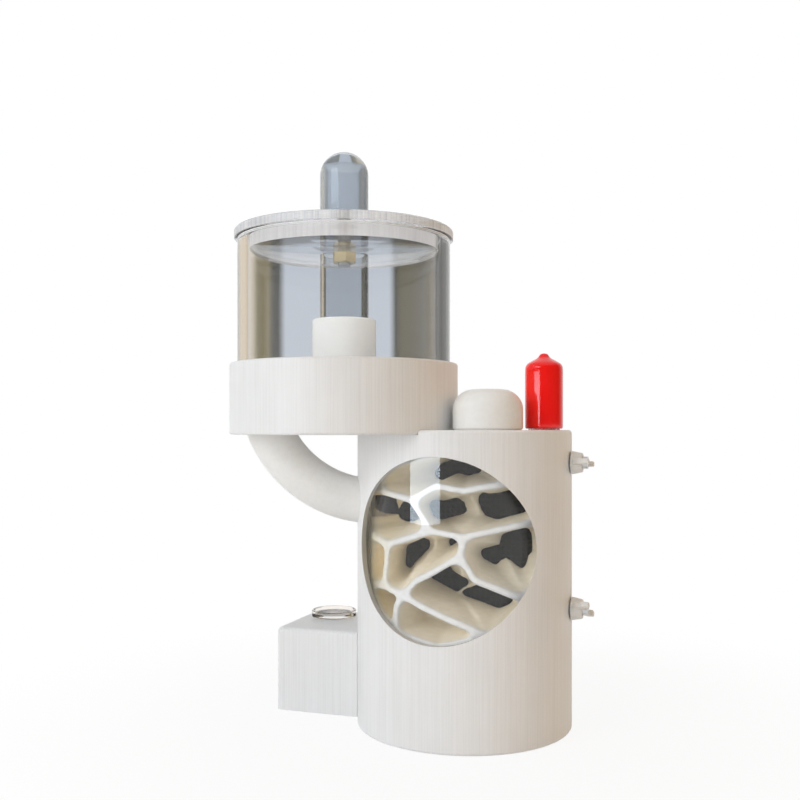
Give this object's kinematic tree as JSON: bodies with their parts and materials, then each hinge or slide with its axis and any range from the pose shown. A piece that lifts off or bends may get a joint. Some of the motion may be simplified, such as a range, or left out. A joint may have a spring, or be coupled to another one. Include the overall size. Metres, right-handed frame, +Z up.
{
  "type": "ant habitat",
  "caption": "Round nest tower with a curved window of ribbed chambers, joined by a curved tube to a clear lidded arena, with a side water tank.",
  "frame": {"origin": "centre of the tower's flat underside", "axes": "+Z up along the tower's axis; -Y out through the window; +X to the right as the window is looked at"},
  "size_m": [0.1166, 0.0882, 0.1892],
  "materials": {
    "white_print": "printed layers, satin",
    "nest_print": "printed layers, matt",
    "white_nylon": "moulded, satin",
    "clear_acrylic": "polished clear acrylic",
    "clear_vinyl": "clear soft vinyl",
    "red_vinyl": "glossy soft vinyl",
    "steel": "plain steel",
    "brass": "turned brass",
    "dark_mesh": "fine dark woven mesh",
    "sponge": "open dark foam"
  },
  "bodies": {
    "stand": {"front_shell": "white_print", "base_plate": "white_print", "top_plate": "white_print", "arena_tray": "white_print", "connecting_arm": "white_print", "water_tank": "white_print", "feeder_socket": "white_print", "nest_lower": "nest_print", "nest_block": "nest_print", "nest_upper": "nest_print", "window_pane": "clear_acrylic", "arena_tube": "clear_acrylic", "feeder_tube": "clear_acrylic", "port_tube": "clear_vinyl", "water_spout": "clear_vinyl", "clamp_studs": "steel", "mesh_panel": "dark_mesh", "humidity_sponge": "sponge"},
    "rear_cover": {"rear_shell": "white_print"},
    "lid": {"lid_disc": "clear_acrylic", "lid_plug": "clear_acrylic", "knob_collar": "white_print", "lid_bolt": "steel", "lid_nut": "brass"},
    "knob": {"knob_cap": "clear_vinyl"},
    "plug": {"fill_plug": "white_print"},
    "port_cap": {"red_cap": "red_vinyl"},
    "water_cap": {"tank_cap": "clear_vinyl"},
    "nut_upper": {"wing_nut_upper": "white_nylon"},
    "nut_lower": {"wing_nut_lower": "white_nylon"}
  },
  "joints": [
    {"name": "lid_lift", "type": "slide", "parent": "stand", "child": "lid", "axis": [0, 0, 1], "range_m": [0, 0.06]},
    {"name": "knob_pull", "type": "slide", "parent": "lid", "child": "knob", "axis": [0, 0, 1], "range_m": [0, 0.03]},
    {"name": "plug_lift", "type": "slide", "parent": "stand", "child": "plug", "axis": [0, 0, 1], "range_m": [0, 0.03]},
    {"name": "red_cap_pull", "type": "slide", "parent": "stand", "child": "port_cap", "axis": [0, 0, 1], "range_m": [0, 0.03]},
    {"name": "tank_cap_lift", "type": "slide", "parent": "stand", "child": "water_cap", "axis": [0, 0, 1], "range_m": [0, 0.02]},
    {"name": "rear_cover_slide", "type": "slide", "parent": "stand", "child": "rear_cover", "axis": [0, 1, 0], "range_m": [0, 0.05]},
    {"name": "upper_nut_turn", "type": "hinge", "parent": "stand", "child": "nut_upper", "pos_m": [0.0358, 0, 0.087], "axis": [1, 0, 0], "continuous": true},
    {"name": "lower_nut_turn", "type": "hinge", "parent": "stand", "child": "nut_lower", "pos_m": [0.0358, 0, 0.04], "axis": [1, 0, 0], "continuous": true}
  ]
}
